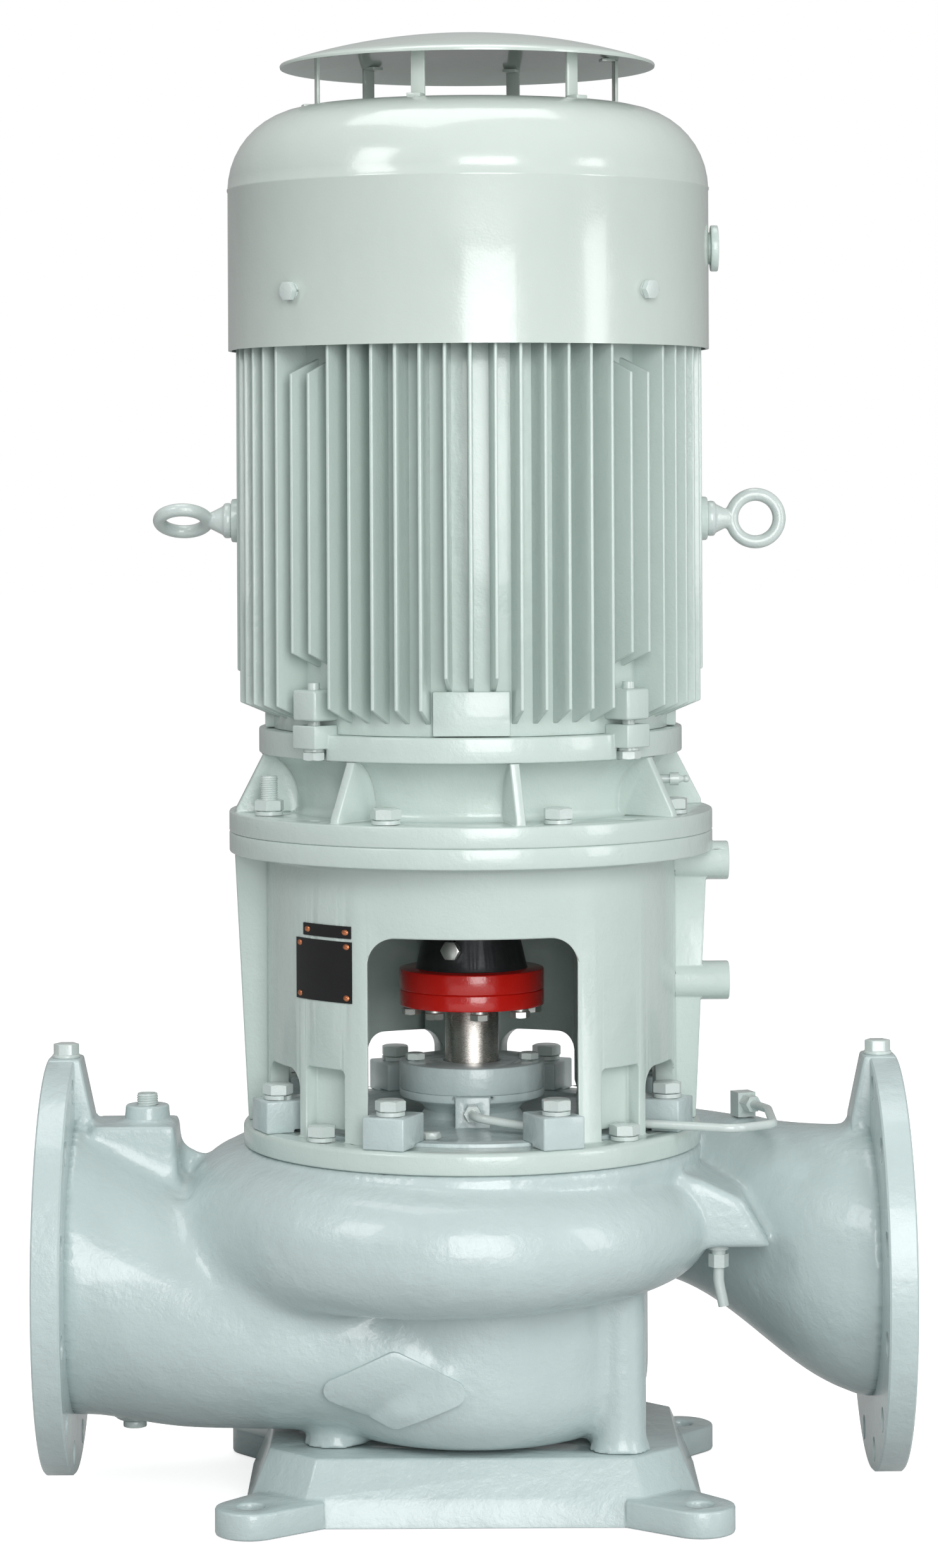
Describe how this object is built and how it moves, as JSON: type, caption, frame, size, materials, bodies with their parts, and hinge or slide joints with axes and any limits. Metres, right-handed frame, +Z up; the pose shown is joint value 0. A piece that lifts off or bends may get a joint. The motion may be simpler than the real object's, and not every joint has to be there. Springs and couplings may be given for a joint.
{
  "type": "marine centrifugal pump",
  "caption": "Vertical in-line centrifugal pump with a finned flange motor on an open lantern, two pipe flanges, a rain canopy and a cast base that bolts down",
  "frame": {"origin": "centre of the four base bolt holes, on the underside of the base, on the shaft's axis", "axes": "+Z up along the shaft, +X towards the discharge flange, -Y towards the lantern's large window"},
  "size_m": [0.79, 0.5591, 1.357],
  "materials": {
    "pump_paint": "glossy paint over rough casting",
    "motor_paint": "glossy paint over casting and sheet",
    "red_paint": "glossy paint",
    "hub_steel": "dark machined",
    "plain_steel": "machined, partly painted over",
    "zinc_steel": "plated fasteners",
    "shaft_steel": "ground",
    "copper_tube": "painted tube",
    "bronze": "cast and machined",
    "windings": "lacquered wire",
    "core_iron": "laminated",
    "black_plate": "black coated, bare of lettering",
    "copper_rivet": "bare",
    "gasket": "matte sheet",
    "fan_plastic": "moulded",
    "carbon": "lapped carbon"
  },
  "bodies": {
    "pump": {"access_cap": "motor_paint", "arrow_plate": "black_plate", "base_frame": "pump_paint", "bearing_outer_rings": "shaft_steel", "cable_gland": "zinc_steel", "canopy_straps": "motor_paint", "casing_cover": "plain_steel", "casing_screws": "zinc_steel", "casing_wear_ring": "bronze", "clamp_blocks": "plain_steel", "clamp_bolts": "zinc_steel", "cover_gasket": "gasket", "drain_fitting": "plain_steel", "drain_tube": "copper_tube", "drive_end_shield": "motor_paint", "eyebolt_left": "zinc_steel", "eyebolt_right": "zinc_steel", "fan_cover": "motor_paint", "fan_cover_screws": "zinc_steel", "flush_fittings": "plain_steel", "flush_tube": "copper_tube", "gauge_nipple": "plain_steel", "gland_bolts": "zinc_steel", "grease_nipple": "zinc_steel", "inlet_grille": "zinc_steel", "lantern": "pump_paint", "lantern_bolts": "zinc_steel", "lid_screws": "zinc_steel", "motor_flange_bolts": "zinc_steel", "motor_flange_nut": "zinc_steel", "motor_flange_stud": "zinc_steel", "motor_frame": "motor_paint", "nameplate": "black_plate", "plate_rivets": "copper_rivet", "pump_casing": "pump_paint", "rain_canopy": "motor_paint", "screw_plugs": "plain_steel", "seal_fixed_ring": "carbon", "seal_gland": "red_paint", "shield_bolts": "zinc_steel", "stator_core": "core_iron", "stator_windings": "windings", "terminal_box": "motor_paint", "terminal_box_lid": "motor_paint", "upper_end_shield": "motor_paint", "upper_shield_bolts": "zinc_steel"},
    "rotor": {"motor_shaft": "shaft_steel", "rotor_core": "core_iron", "cooling_fan": "fan_plastic", "bearing_inner_rings": "shaft_steel", "coupling_upper_half": "hub_steel", "coupling_lower_half": "red_paint", "coupling_bolts": "zinc_steel", "coupling_set_screw": "zinc_steel", "shaft_keys": "shaft_steel", "pump_shaft": "shaft_steel", "impeller": "bronze", "impeller_nut": "shaft_steel", "seal_rotating_head": "shaft_steel"},
    "ball_sets": {"bearing_balls": "shaft_steel"}
  },
  "joints": [
    {"name": "shaft_spin", "type": "hinge", "parent": "pump", "child": "rotor", "pos_m": [0, 0, 0.468], "axis": [0, 0, 1], "continuous": true},
    {"name": "ball_orbit", "type": "hinge", "parent": "pump", "child": "ball_sets", "pos_m": [0, 0, 0.652], "axis": [0, 0, 1], "continuous": true}
  ],
  "couplings": [
    {"joint": "ball_orbit", "follows": "shaft_spin", "ratio": 0.3927}
  ]
}
